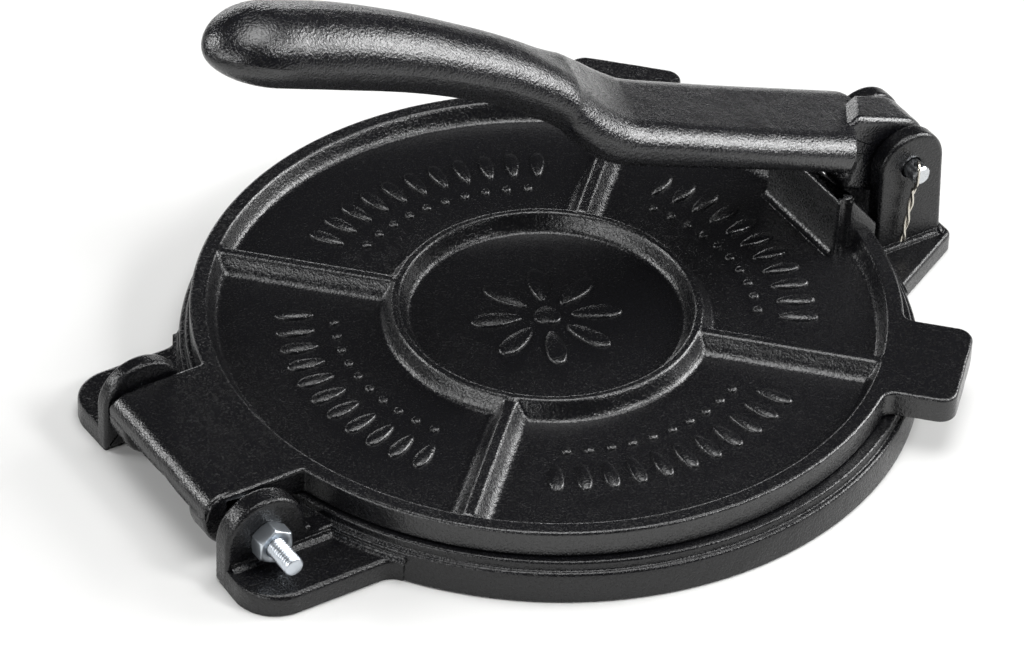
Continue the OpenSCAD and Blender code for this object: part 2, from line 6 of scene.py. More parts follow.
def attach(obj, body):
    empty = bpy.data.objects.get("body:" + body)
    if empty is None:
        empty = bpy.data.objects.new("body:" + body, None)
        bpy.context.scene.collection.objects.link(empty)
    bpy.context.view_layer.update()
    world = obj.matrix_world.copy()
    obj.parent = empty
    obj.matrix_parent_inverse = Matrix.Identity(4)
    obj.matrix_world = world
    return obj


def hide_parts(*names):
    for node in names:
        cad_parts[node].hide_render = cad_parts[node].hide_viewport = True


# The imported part. Its solids stay where they are; the pieces made here are shown in their place.
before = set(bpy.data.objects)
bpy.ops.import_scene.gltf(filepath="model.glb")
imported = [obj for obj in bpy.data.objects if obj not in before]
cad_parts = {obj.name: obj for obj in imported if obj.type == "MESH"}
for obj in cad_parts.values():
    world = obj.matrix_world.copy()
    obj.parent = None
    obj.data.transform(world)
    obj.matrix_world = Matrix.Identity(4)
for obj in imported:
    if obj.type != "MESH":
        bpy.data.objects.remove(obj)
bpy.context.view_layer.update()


# The base plate is one casting of grey iron, poured in sand and dipped in glossy black lacquer.
# Its disc has a flat pressing face, a small step round it and a drafted wall that stands on a
# skirt, a hub and a cross of ribs. Lengths are in millimetres here and in every section below.
def linear(hexes):
    """Linear RGBA of an sRGB colour written as six hex digits."""
    c = np.array([int(hexes[i:i + 2], 16) / 255 for i in (0, 2, 4)])
    return (*np.where(c <= 0.04045, c / 12.92, ((c + 0.055) / 1.055) ** 2.4), 1.0)


def add_node(tree, kind, values={}, **settings):
    """Adds a shader node. Each value is a constant or another node's output."""
    made = tree.nodes.new(kind)
    for key, value in settings.items():
        setattr(made, key, value)
    for key, value in values.items():
        if isinstance(value, bpy.types.NodeSocket):
            tree.links.new(value, made.inputs[key])
        else:
            made.inputs[key].default_value = value
    return made


def lacquered_iron(name, dark, painted_glint_grey, grain_mm, depth_mm, roughness, gloss):
    """Black lacquer over sand-cast iron: a dark, glossy skin whose grains catch small white glints wherever
    it turns towards a light,
    with painted light in its colour: greyer on the raised grains as painted glints and nearly black between
    them as painted shade."""
    wave_mm, wave_depth_mm = 9.0, 0.3
    material = bpy.data.materials.new(name)
    material.use_nodes = True
    tree = material.node_tree
    shader = tree.nodes["Principled BSDF"]
    place = add_node(tree, "ShaderNodeTexCoord").outputs["Object"]
    waves = add_node(tree, "ShaderNodeTexNoise", {"Vector": place, "Scale": 1000 / wave_mm, "Detail": 2.0})
    grains = add_node(tree, "ShaderNodeTexNoise",
                      {"Vector": place, "Scale": 1000 / grain_mm, "Detail": 2.5, "Roughness": 0.6})
    high_or_low = add_node(tree, "ShaderNodeMapRange",
                           {"Value": grains.outputs["Fac"], "From Min": 0.38, "From Max": 0.62})
    low = add_node(tree, "ShaderNodeBump",
                   {"Height": waves.outputs["Fac"], "Distance": wave_depth_mm * 0.001, "Strength": 1.0})
    top = add_node(tree, "ShaderNodeBump",
                   {"Height": grains.outputs["Fac"], "Distance": depth_mm * 0.001,
                    "Strength": 1.0, "Normal": low.outputs["Normal"]})
    # Painted light: the colour follows the grains' height, greyer on the raised grains as painted glints and
    # nearly black in the hollows between them as painted shade.
    tone = add_node(tree, "ShaderNodeMix", {"Factor": high_or_low.outputs["Result"], "A": linear(dark),
                                            "B": linear(painted_glint_grey)}, data_type="RGBA")
    shine = add_node(tree, "ShaderNodeMapRange",
                     {"Value": high_or_low.outputs["Result"], "To Min": roughness + 0.2, "To Max": roughness})
    tree.links.new(top.outputs["Normal"], shader.inputs["Normal"])
    tree.links.new(tone.outputs["Result"], shader.inputs["Base Color"])
    tree.links.new(shine.outputs["Result"], shader.inputs["Roughness"])
    shader.inputs["Specular IOR Level"].default_value = gloss
    return material


def piece(name, points, faces, material, body, slot):
    """A closed mesh with its faces turned outward, made from points in millimetres and arrays of
    corner numbers. It rides on a body of the part and takes its finish from the material; the slot is not
    used."""
    points = np.asarray(points, float) * 0.001
    volume = 0.0
    for f in faces:
        for k in range(1, f.shape[1] - 1):
            a, b, c = points[f[:, 0]], points[f[:, k]], points[f[:, k + 1]]
            volume += np.einsum("ij,ij->", a, np.cross(b, c))
    faces = [f if volume > 0 else f[:, ::-1] for f in faces]
    sizes = np.concatenate([np.full(len(f), f.shape[1]) for f in faces])
    mesh = bpy.data.meshes.new(name)
    mesh.vertices.add(len(points))
    mesh.vertices.foreach_set("co", points.ravel())
    mesh.loops.add(int(sizes.sum()))
    mesh.loops.foreach_set("vertex_index", np.concatenate([f.ravel() for f in faces]).astype(np.int32))
    mesh.polygons.add(len(sizes))
    mesh.polygons.foreach_set("loop_start", np.concatenate([[0], np.cumsum(sizes)[:-1]]).astype(np.int32))
    mesh.update(calc_edges=True)
    mesh.validate()
    mesh.shade_smooth()
    mesh.materials.append(material)
    made = bpy.data.objects.new(name, mesh)
    bpy.context.scene.collection.objects.link(made)
    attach(made, body)
    made.modifiers.new("flat faces stay flat", "WEIGHTED_NORMAL").weight = 100
    return made


def skin(rings, ends="fans"):
    """Points and faces of a surface through rings of equal length. Its ends are closed by fans to
    the middle of the first and last ring, or by joining the last ring to the first."""
    rings = np.asarray(rings, float)
    m, n = rings.shape[:2]
    points = rings.reshape(-1, 3)
    j, i = np.meshgrid(np.arange(m if ends == "loop" else m - 1), np.arange(n), indexing="ij")
    nj, ni = (j + 1) % m, (i + 1) % n
    quads = np.stack([j * n + i, j * n + ni, nj * n + ni, nj * n + i], -1).reshape(-1, 4)
    if ends == "loop":
        return points, [quads]
    points = np.vstack([points, rings[0].mean(0), rings[-1].mean(0)])
    i = np.arange(n)
    k = (i + 1) % n
    last = (m - 1) * n
    fans = np.vstack([np.stack([k, i, np.full(n, m * n)], -1),
                      np.stack([last + i, last + k, np.full(n, m * n + 1)], -1)])
    return points, [quads, fans]


def crowded(edges, weight, count):
    """Angles round the circle, in degrees, set closer together near the given ones. Each of edges
    is (angle, half width); the density there is 1 + weight times the density elsewhere."""
    a = np.linspace(-180, 180, 7201)
    density = np.ones_like(a)
    for angle, half in edges:
        away = np.abs((a - angle + 180) % 360 - 180)
        density += weight / (1 + np.exp((away - half) * 4))
    total = np.concatenate([[0], np.cumsum((density[1:] + density[:-1]) / 2)])
    return np.interp(np.arange(count) / count * total[-1], total, a)


def smooth_max(a, b, k):
    """The larger of two heights, with a round corner about k high where they cross."""
    h = np.maximum(k - np.abs(a - b), 0) / k
    return np.maximum(a, b) + h * h * k / 4


def turned(profile, angles):
    """Rings of a profile of (radius, height) carried round the upright axis."""
    a = np.radians(angles)
    r, z = np.asarray(profile, float).T
    return np.stack([r[:, None] * np.cos(a), r[:, None] * np.sin(a), np.repeat(z[:, None], len(a), 1)], -1)


def bend(cx, cy, r, a0, a1, n=7):
    """Points of an arc about (cx, cy), from angle a0 to a1 in degrees."""
    a = np.radians(np.linspace(a0, a1, n))
    return np.stack([cx + r * np.cos(a), cy + r * np.sin(a)], -1)


base_black = lacquered_iron("black_lacquered_cast_iron_base", "040405", "0F0F12", 0.75, 0.2, 0.13, 0.45)
face_z = 12.4
lip_r, lip_round = 103.9, 0.9
step_z, step_fillet = 9.7, 0.6
wall_r, wall_round = 105.7, 1.1
base_r, base_round = 106.4, 0.8
skirt_in_r = 98.5
hub_r = 17
rib_half_w = 3
hollow_h = 6.4
hollow_draft = 6
round_base = crowded([(0, 5), (90, 5), (180, 5), (-90, 5)], 4, 300)
over = np.vstack([[[0.5, face_z], [30, face_z], [60, face_z], [90, face_z], [lip_r - 1.3, face_z]],
                  bend(lip_r - lip_round, face_z - lip_round, lip_round, 90, 8),
                  bend(lip_r + step_fillet + 0.1, step_z + step_fillet, step_fillet, 188, 262, 5),
                  bend(wall_r - wall_round, step_z - wall_round, wall_round, 84, 4, 8),
                  [[wall_r + 0.2, 7.5], [base_r - 0.1, 3]],
                  bend(base_r - base_round, base_round, base_round, 0, -90, 5),
                  [[103, 0], [skirt_in_r + 1.8, 0]]])
under_r = np.r_[skirt_in_r + 0.9, np.linspace(skirt_in_r + 0.7, skirt_in_r - 1.5, 8), 92, 80, 60, 40, 24,
                np.linspace(hub_r + 1.6, hub_r - 1.6, 8), 10, 0.5]
turn = np.radians(round_base)
x, y = under_r[:, None] * np.cos(turn), under_r[:, None] * np.sin(turn)
skirt = (under_r[:, None] - skirt_in_r) * hollow_draft
hub = (hub_r - under_r[:, None]) * hollow_draft
rib = (rib_half_w - np.minimum(np.abs(x), np.abs(y))) * hollow_draft
depth = smooth_max(smooth_max(smooth_max(skirt, hub, 2), rib, 2), -hollow_h + 0 * x, 2)
under = np.stack([x, y, np.clip(-depth, 0, hollow_h)], -1)
base_disc = piece("base_disc", *skin(np.concatenate([turned(over, round_base), under])), base_black,
                  "base", "base_iron")
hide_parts("base_plate")


# The hinge side of the same casting: two lobed ears with a bore for the bolt, each with a flat
# toe beside it that runs into the disc. Every edge is rounded and every inner corner is filled
# with a small cove, as the sand mould leaves them.
def inset(outline, d):
    """The outline moved inward by d, which is a number or one number for each point."""
    ahead, back = np.roll(outline, -1, 0) - outline, outline - np.roll(outline, 1, 0)
    along = ahead / np.linalg.norm(ahead, axis=1)[:, None] + back / np.linalg.norm(back, axis=1)[:, None]
    along /= np.linalg.norm(along, axis=1)[:, None]
    area = np.sum(outline[:, 0] * np.roll(outline[:, 1], -1) - outline[:, 1] * np.roll(outline[:, 0], -1))
    inward = np.stack([-along[:, 1], along[:, 0]], -1) * np.sign(area)
    return outline + inward * np.reshape(d, (-1, 1))


def even(outline, step):
    """The closed outline again, with points about a step apart."""
    loop = np.vstack([outline, outline[:1]])
    gone = np.concatenate([[0], np.cumsum(np.linalg.norm(np.diff(loop, axis=0), axis=1))])
    at = np.arange(0, gone[-1] - step / 2, step)
    return np.stack([np.interp(at, gone, loop[:, k]) for k in (0, 1)], -1)


def by_angle(outline, centre, count=160):
    """The outline's points at even angles about a centre that sees all of it, and those angles."""
    rel = even(outline, 0.05) - centre
    a = np.unwrap(np.arctan2(rel[:, 1], rel[:, 0]))
    if a[-1] < a[0]:
        a, rel = a[::-1], rel[::-1]
    r = np.linalg.norm(rel, axis=1)
    at = np.linspace(a[0], a[0] + 2 * np.pi, count, endpoint=False)
    r = np.interp(at, np.r_[a, a[0] + 2 * np.pi], np.r_[r, r[0]])
    return centre + np.stack([r * np.cos(at), r * np.sin(at)], -1), at


def cheek(outline, centre, bore, y0, y1, edge):
    """A plate standing in X and Z between y0 and y1, its edges rounded by a quarter circle: rings
    of the outline go round the rim. With a bore, circles about the centre carry the surface
    through it, with a small chamfer at its mouths."""
    chamfer, bore_step = 0.4, 1.2
    rim, at = by_angle(outline, centre)
    circle = np.stack([np.cos(at), np.sin(at)], -1)
    inner = inset(rim, edge)
    start = centre + circle * (bore + chamfer if bore else 0.05)
    wall = centre + circle * bore
    rows = []
    for y, s in ((y0, 1), (y1, -1)):
        side = [(wall, y + s * bore_step), (wall, y + s * chamfer)] if bore else []
        side += [(start * (1 - t) + inner * t, y) for t in (0, 0.15, 0.5, 0.9)]
        side += [(inset(rim, edge * (1 - np.sin(f))), y + s * edge * (1 - np.cos(f)))
                 for f in np.radians([0, 18, 36, 54, 72, 90])]
        rows.append(side)
    rings = rows[0] + rows[1][::-1]
    return [np.stack([p[:, 0], np.full(len(p), y), p[:, 1]], -1) for p, y in rings]


def cove(path, side, radius):
    """The metal that fills an inner corner: a ring at each point of the path along the corner,
    hollow towards the side direction and upwards, and sunk a little into both faces."""
    sunk = 0.4
    path = np.asarray(path, float)
    side = np.broadcast_to(np.asarray(side, float), path.shape)
    f = np.radians(np.linspace(0, 90, 8))
    across = np.r_[radius * (1 - np.sin(f)), -sunk, -sunk, radius]
    upward = np.r_[radius * (1 - np.cos(f)), radius, -sunk, -sunk]
    return path[:, None] + side[:, None] * across[:, None] + np.array([0, 0, 1.0]) * upward[:, None]


def at_height(line, z):
    """Points of a line in plan, all lifted to the height z."""
    return np.column_stack([line, np.full(len(line), z)])


def half_chord(r, away):
    """Half the length of a circle's chord at a distance from its middle."""
    return np.sqrt(r ** 2 - away ** 2)


def shelf(inner, outer, z1, edge):
    """A flat strip between an inner and an outer line in plan, from the table up to z1, with its
    outer top edge rounded. Each of its rings is a section from one line to the other."""
    foot_chamfer = 0.5
    out = outer - inner
    out = out / np.linalg.norm(out, axis=1)[:, None]
    rows = [at_height(inner, 0), at_height(inner, z1), at_height((inner + outer) / 2, z1)]
    rows += [at_height(outer - out * edge * (1 - np.sin(f)), z1 - edge * (1 - np.cos(f)))
             for f in np.radians(np.linspace(0, 90, 7))]
    rows += [at_height(outer, foot_chamfer), at_height(outer - out * foot_chamfer, 0)]
    return np.stack(rows, 1)


def cove_on_disc(name, z, start, end, side, count):
    """A cove along the base disc's wall at the height z, between two angles in degrees."""
    turn = np.radians(np.linspace(start, end, count))
    wall = np.column_stack([np.cos(turn), side * np.sin(turn), 0 * turn])
    return piece(name, *skin(cove(wall * cove_r + [0, 0, z], wall, 1.6)), base_black, "base", "base_iron")


hinge = np.array([-117.4, 14.4])
bore_r = 3.3
ear_r, ear_z, ear_edge = 12.6, 13.9, 1.4
web_end_r, toe_end_r, cove_r = 99.5, 101, 105.9
toe_h, toe_edge, toe_fillet = 7.0, 1.6, 7
lobe = np.vstack([[[hinge[0] - ear_r, 1]], bend(hinge[0], ear_z, ear_r, 180, 20, 60),
                  [[hinge[0] + 13.3, 9], [hinge[0] + 16.4, 1]]])
web = np.vstack([[[-119, 1], [-119, 9]], bend(-99.66, 13.7, 4, 201, 270, 16), [[-92, 9.7], [-92, 1]]])
for name, y0, y1 in (("near", -42.3, -35.5), ("far", 25.9, 31.3)):
    piece("base_ear_" + name, *skin(cheek(lobe, hinge, bore_r, y0, y1, ear_edge), "loop"),
          base_black, "base", "base_iron")
    back = -half_chord(web_end_r, min(abs(y0), abs(y1)))
    web_line = np.column_stack([np.minimum(web[:, 0], back), web[:, 1]])
    piece("base_web_" + name, *skin(cheek(web_line, np.array([-110, 4.0]), 0, y0 + 0.15, y1 - 0.15, 0.9)),
          base_black, "base", "base_iron")

for name, inner_y, tip, face, side in (("near", 37, 59.7, 42.3, -1), ("far", 27, 51.8, 31.3, 1)):
    fillet_y = tip + toe_fillet
    swing = half_chord(106.5 + toe_fillet, fillet_y)
    fillet_turn = np.degrees(np.arctan2(swing, fillet_y))
    line = np.vstack([[[-129.9, inner_y + 1]], bend(hinge[0], tip - ear_r, ear_r, 180, 90, 24),
                      bend(-swing, fillet_y, toe_fillet, 270, 270 + fillet_turn, 16),
                      [[-half_chord(toe_end_r, tip - 1), tip - 1]]])
    foot = np.column_stack([np.clip(line[:, 0], -129.3, -half_chord(toe_end_r, inner_y)),
                            np.full(len(line), float(inner_y))])
    line[:, 1] *= side
    foot[:, 1] *= side
    piece("base_toe_" + name, *skin(shelf(foot, line, toe_h, toe_edge)), base_black, "base", "base_iron")
    run_x = np.linspace(-128.6, -half_chord(cove_r - 0.1, face), 24)
    path = np.column_stack([run_x, np.full(24, float(side * face)), np.full(24, toe_h)])
    piece("base_cove_ear_" + name, *skin(cove(path, [0, side, 0], 1.8)), base_black, "base", "base_iron")
    cove_on_disc("base_cove_toe_" + name, toe_h, 180 - np.degrees(np.arcsin(face / cove_r)),
                 180 - np.degrees(np.arcsin((tip + 3) / cove_r)), side, 24)


# The post side of the casting: a foot that tapers outwards and two upright ears, a little wider
# at the bottom so that the pattern left the sand. The lever's pin goes through both ears.
def pad(outline, z1, edge):
    """A flat plate of the given outline in plan, from the table up to z1, with its top edge
    rounded by a quarter circle and a small chamfer at its foot."""
    foot_chamfer = 0.5
    middle = outline.mean(0)
    rows = [at_height(middle + (inset(outline, foot_chamfer) - middle) * t, 0) for t in (0.02, 0.5, 1)]
    rows += [at_height(outline, foot_chamfer)]
    rows += [at_height(inset(outline, edge * (1 - np.sin(f))), z1 - edge * (1 - np.cos(f)))
             for f in np.radians(np.linspace(90, 0, 7))]
    rows += [at_height(middle + (inset(outline, edge) - middle) * t, z1) for t in (0.9, 0.5, 0.02)]
    return rows


pin = np.array([115.4, 1.4, 34.0])
post_r, post_ear_w, post_edge = 11.3, 6, 1.5
post_out_x = 128
heel_h, heel_edge = 6.5, 1.4
post_near_y, post_far_y = -12.7, 15.5
upright = np.vstack([[[104.5, 3], [post_out_x, 3]], bend(pin[0], pin[2], post_r, 3, 172, 60), [[104.5, 33]]])
for name, y0 in (("post_ear_near", post_near_y), ("post_ear_far", post_far_y - post_ear_w)):
    piece(name, *skin(cheek(upright, pin[[0, 2]], bore_r, y0, y0 + post_ear_w, post_edge), "loop"),
          base_black, "base", "base_iron")

heel = np.vstack([bend(127.6, -12.8, 3, -64.6, 0, 12), bend(127.6, 15.6, 3, 0, 64.6, 12),
                  bend(0, 0, toe_end_r, 20.8, -19.2, 40)])
piece("post_foot", *skin(pad(even(heel, 1.0), heel_h, heel_edge)), base_black, "base", "base_iron")
for name, y, side in (("near", post_near_y, -1), ("far", post_far_y, 1)):
    corner_r = 0.8
    run_x = np.linspace(105.2, 127.3, 16)
    turn = np.radians(np.linspace(side * 90, 0, 7))
    corner = np.column_stack([post_out_x - corner_r + corner_r * np.cos(turn),
                              y - side * corner_r + corner_r * np.sin(turn)])
    path = at_height(np.vstack([np.column_stack([run_x, np.full(16, y)]), corner,
                                [[post_out_x, y - side * 5.5]]]), heel_h)
    out = np.vstack([np.tile([0, side, 0], (16, 1)),
                     np.column_stack([np.cos(turn), np.sin(turn), 0 * turn]), [[1, 0, 0]]])
    piece("post_cove_" + name, *skin(cove(path, out, 1.6)), base_black, "base", "base_iron")
cove_on_disc("post_cove_disc", heel_h, -17.5, 19, 1, 60)


# The upper plate is a second casting in the same lacquered iron: a disc with a raised rim, a ring
# round the middle and four ribs, two lifting tabs and the tongue of the hinge. One surface goes
# round it: heights over the plan make the recesses, and the outline gives the edge.
plate_black = lacquered_iron("black_lacquered_cast_iron_plate", "050506", "101013", 0.7, 0.18, 0.13, 0.7)
centre = np.array([-0.9, 0.6])
plate_r = 101.6
plate_top, plate_floor, plate_under = 20.7, 15.5, 12.7
tab_low, tab_high, tab_reach = -14.7, 19.5, 120.2
tongue_low, tongue_high, tongue_reach = -24.6, 29.4, 128.5
ring_r, ring_half_w = 43.3, 1.1
rim_in_r = 96.8
rib_drop, rib_top_half_w, rib_foot_half_w = 0.5, 1.35, 4.75


def arm_of_disc(low, high, reach, corner, fillet):
    """Outline of a tab on the plate's disc, along its own axis, with rounded corners and filled
    inner corners: the fillets touch the disc and the tab's sides."""
    out_r = plate_r + fillet
    turn_low = half_chord(out_r, fillet - low)
    turn_high = half_chord(out_r, high + fillet)
    start = 180 - np.degrees(np.arctan2(fillet - low, turn_low))
    end = 180 + np.degrees(np.arctan2(high + fillet, turn_high))
    return np.vstack([
        bend(turn_low, low - fillet, fillet, start, 90, 10),
        bend(reach - corner, low + corner, corner, 270, 360, 14),
        bend(reach - corner, high - corner, corner, 0, 90, 14),
        bend(turn_high, high + fillet, fillet, 270, end, 10)])


def off_angle(a, b):
    """How far angle a lies beyond angle b, between -180 and 180 degrees."""
    return (a - b + 180) % 360 - 180


edge_line = []
for middle, outline in ((45, arm_of_disc(tab_low, tab_high, tab_reach, 5, 3.5)),
                        (-45, arm_of_disc(tab_low, tab_high, tab_reach, 5, 3.5)),
                        (180, arm_of_disc(tongue_low, tongue_high, tongue_reach, 1.2, 1.5))):
    steps = np.linspace(0, 1, 6)[:-1]
    between = outline[:-1, None] + np.diff(outline, axis=0)[:, None] * steps[:, None]
    fine = np.vstack([between.reshape(-1, 2), outline[-1:]])[::2]
    edge_line.append(np.column_stack([off_angle(np.degrees(np.arctan2(fine[:, 1], fine[:, 0])) + middle, 0),
                                      np.linalg.norm(fine, axis=1)]))
edge_line = np.vstack(edge_line)
edge_line = edge_line[np.argsort(edge_line[:, 0])]
known, known_r = edge_line.T
free = crowded([(-135, 7), (-45, 7), (45, 7), (135, 7)], 5, 380)
near = np.min(np.abs(off_angle(free[:, None], known)), axis=1)
spokes = np.sort(np.concatenate([free[near > 0.12], known]))
spokes = spokes[np.concatenate([[True], np.diff(spokes) > 0.02])]
on_arm = np.zeros(len(spokes), bool)
for middle in (45, -45, 180):
    span = off_angle(known, middle)
    span = span[np.abs(span) < 30]
    off = off_angle(spokes, middle)
    on_arm |= (off >= span.min()) & (off <= span.max())
reach = np.where(on_arm, np.interp(spokes, np.r_[known[-1] - 360, known, known[0] + 360],
                                   np.r_[known_r[-1], known_r, known_r[0]]), plate_r)
turn = np.radians(spokes)
ray = np.stack([np.cos(turn), np.sin(turn)], -1)
edge = centre + ray * reach[:, None]
radii = np.r_[0.4, 8, 16, 24, 32, 36.5, np.linspace(ring_r - 5.1, ring_r + 5.9, 38), 51, 54, 58, 63, 68,
              73, 78, 83, 88, 91, np.linspace(rim_in_r - 4.4, rim_in_r + 1.6, 20)]
flat = centre + ray[None] * radii[:, None, None]
rel = flat - centre
r = np.linalg.norm(rel, axis=2)
draft = (plate_top - plate_floor) / 2.6
ring_wall = plate_top + draft * (ring_half_w - np.abs(r - ring_r))
rim_wall = plate_top + draft * (r - rim_in_r)
across = np.minimum(np.abs(rel[..., 0] - rel[..., 1]), np.abs(rel[..., 0] + rel[..., 1])) / np.sqrt(2)
rib_top = plate_top - rib_drop
rib_draft = (rib_top - plate_floor) / (rib_foot_half_w - rib_top_half_w)
rib_wall = rib_top + rib_draft * (rib_top_half_w - across)
rib_wall = -smooth_max(-rib_wall, -rib_top + 0 * r, 0.9)
rib_wall = np.where(r > ring_r, rib_wall, plate_floor - 5)
height = smooth_max(smooth_max(ring_wall, rim_wall, 1.5), smooth_max(rib_wall, plate_floor + 0 * r, 2.2), 2.2)
height = -smooth_max(-height, -plate_top + 0 * r, 1.1)
rings = [np.concatenate([flat[k], height[k][:, None]], 1) for k in range(len(radii))]
inward = inset(edge, 1) - edge
facing = np.clip((-108 - edge[:, 0]) / 2, 0, 1) * np.abs(inward[:, 0])
nose_r = 5.6


def upper(x):
    """Height of the plate's upper face, which falls in a quarter circle at the tongue's nose."""
    short = np.clip(tongue_reach - centre[0] - nose_r + x, -nose_r, 0)
    return plate_top - nose_r + half_chord(nose_r, short)


for t in np.r_[0.3, 0.6, 0.78, 1 - 0.2 * (1 - np.sin(np.radians(np.linspace(0, 88, 12))))]:
    p = flat[-1] * (1 - t) + (edge + inward) * t
    rings.append(np.column_stack([p, upper(p[:, 0])]))
for f in np.radians(np.linspace(8, 90, 8)):
    p = edge + inward * (1 - np.sin(f))
    rings.append(np.column_stack([p, upper(p[:, 0]) - (1 - np.cos(f)) * (1 - facing)]))
lean = inward * [1, 0] * (facing * 1.8)[:, None]
for f in np.radians(np.linspace(0, 90, 5)):
    p = edge + lean * (0.7 + 0.3 * np.sin(f)) + inward * 0.6 * (1 - np.cos(f))
    rings.append(at_height(p, plate_under + 0.6 * (1 - np.sin(f))))
rings += [at_height(centre + ray * k, plate_under) for k in (97, 60, 0.4)]
plate = piece("plate_casting", *skin(rings), plate_black, "plate", "plate_iron")
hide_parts("upper_plate")


# A plain relief of maize kernels is cast into the recesses: a row of them and a row of beads in
# each sector, and a flower in the middle. They are the plate's own iron, up to 1.3 mm proud.
def kernels(places, headings, length, width, high):
    """Domes on the recess floor, drop-shaped in plan: rings of radius sin t and height cos t,
    drawn out along each heading and narrower at the inner end."""
    sunk = 0.4
    t = np.radians(np.r_[2, np.linspace(12, 90, 8)])
    phi = np.linspace(0, 2 * np.pi, 28, endpoint=False)
    along = np.sin(t)[:, None] * np.cos(phi)
    over = np.sin(t)[:, None] * np.sin(phi) * (1 + 0.25 * np.cos(phi))
    up = np.repeat((plate_floor + high * np.cos(t) ** 0.7)[:, None], len(phi), 1)
    up = np.vstack([up, np.full((1, len(phi)), plate_floor - sunk)])
    length, width = (np.broadcast_to(s, len(places))[:, None, None] for s in (length, width))
    along = np.vstack([along, along[-1:]]) * length / 2
    over = np.vstack([over, over[-1:]]) * width / 2
    c, s = np.cos(headings)[:, None, None], np.sin(headings)[:, None, None]
    x = places[:, 0, None, None] + along * c - over * s
    y = places[:, 1, None, None] + along * s + over * c
    domes = np.stack([x, y, np.broadcast_to(up, x.shape)], -1)
    dome_points, dome_faces = skin(domes[0])
    ends = [domes[:, :1].mean(2), domes[:, -1:].mean(2)]
    points = np.concatenate([domes.reshape(len(domes), -1, 3)] + ends, 1)
    shift = (np.arange(len(domes)) * len(dome_points))[:, None, None]
    return points.reshape(-1, 3), [(f[None] + shift).reshape(-1, f.shape[1]) for f in dome_faces]


def in_sectors(half_angle, count):
    """Even angles across each of the four sectors between the ribs, in radians."""
    middles = np.array([0, 90, 180, 270])[:, None]
    return np.radians((middles + np.linspace(-half_angle, half_angle, count)).ravel())


def out_from_centre(turn, r):
    """Places at a radius from the plate's middle, one for each angle."""
    return centre + np.stack([np.cos(turn), np.sin(turn)], -1) * r


kernel_turn, bead_turn = in_sectors(30, 11), in_sectors(27, 10)
petal_turn = np.radians(np.arange(0, 360, 45) + 22.5)
piece("relief_kernels", *kernels(out_from_centre(kernel_turn, 72), kernel_turn, 11.5, 4.4, 1.3),
      plate_black, "plate", "plate_iron")
piece("relief_beads", *kernels(out_from_centre(bead_turn, 60.5), bead_turn, 3.0, 2.8, 1.0),
      plate_black, "plate", "plate_iron")
piece("relief_rosette", *kernels(np.vstack([out_from_centre(petal_turn, 14.5), centre]), np.r_[petal_turn, 0],
                                 np.r_[np.full(8, 15.0), 8], np.r_[np.full(8, 6.0), 8], 1.3),
      plate_black, "plate", "plate_iron")


# Two lugs hang from the tongue round the hinge bolt, cast in one with the plate. Each is a flat
# cheek with a bore that turns on the bolt, and its top follows the tongue's rounded nose.
lug_r, lug_w, lug_edge = 12, 9, 1.0
lug = np.vstack([bend(*hinge, lug_r, 181, 388, 80), [[-107.5, 18.6]], bend(-123.6, 15, 5.2, 95, 178, 12)])
for name, y0 in (("plate_lug_near", -28.8), ("plate_lug_far", 16.2)):
    piece(name, *skin(cheek(lug, hinge, bore_r, y0, y0 + lug_w, lug_edge), "loop"),
          plate_black, "plate", "plate_iron")


# The pressure block rises from the rim in front of the post: a wall with an upright groove in each
# end and a back that slopes down to the rim. It is cast in one with the plate.
block_top, block_round = 34, 1.1
block_half_w = 17.4
block_front_x, block_back_x, block_foot_x = 87.5, 91.5, 101.9
groove_x, groove_r = 90.1, 2.2


def block_line(z, shrink):
    """The block's outline in plan at a height, with rounded corners and a groove in each end. Its
    front leans by its draft and its back runs straight from the foot to the top."""
    x0 = np.interp(z, [plate_floor, block_top], [block_front_x - 1.2, block_front_x]) + shrink
    x1 = np.interp(z, [plate_top, block_top], [block_foot_x, block_back_x]) - shrink
    hw = block_half_w - shrink
    back_r, front_r = 1.3, 0.91
    half = np.vstack([np.column_stack([np.full(9, x1), np.linspace(0, hw - back_r, 9)]),
                      bend(x1 - back_r, hw - back_r, back_r, 0, 90, 6),
                      [[max(groove_x + groove_r + 0.35, x1 - back_r - 0.4), hw]],
                      bend(groove_x, hw + 0.8, groove_r, -21.3, -158.7, 9),
                      [[groove_x - groove_r - 0.1, hw]],
                      bend(x0 + front_r, hw - front_r, front_r, 90, 180, 6),
                      np.column_stack([np.full(9, x0), np.linspace(hw - back_r, 0, 9)])])
    line = np.vstack([half, half[1:-1][::-1] * [1, -1]])
    return at_height(line + [0, pin[1]], z)


levels = [(z, 0) for z in (13.5, plate_floor, 18, plate_top, 24, 28, 31)]
levels += [(block_top - block_round * (1 - np.sin(f)), block_round * (1 - np.cos(f)))
           for f in np.radians(np.linspace(0, 90, 7))]
path = at_height(np.column_stack([np.full(30, block_front_x - 1), np.linspace(18.2, -15.4, 30)]), plate_floor)
piece("block_cove", *skin(cove(path, [-1, 0, 0], 2.4)), plate_black, "plate", "plate_iron")
piece("pressure_block", *skin([block_line(z, s) for z, s in levels]), plate_black, "plate", "plate_iron")


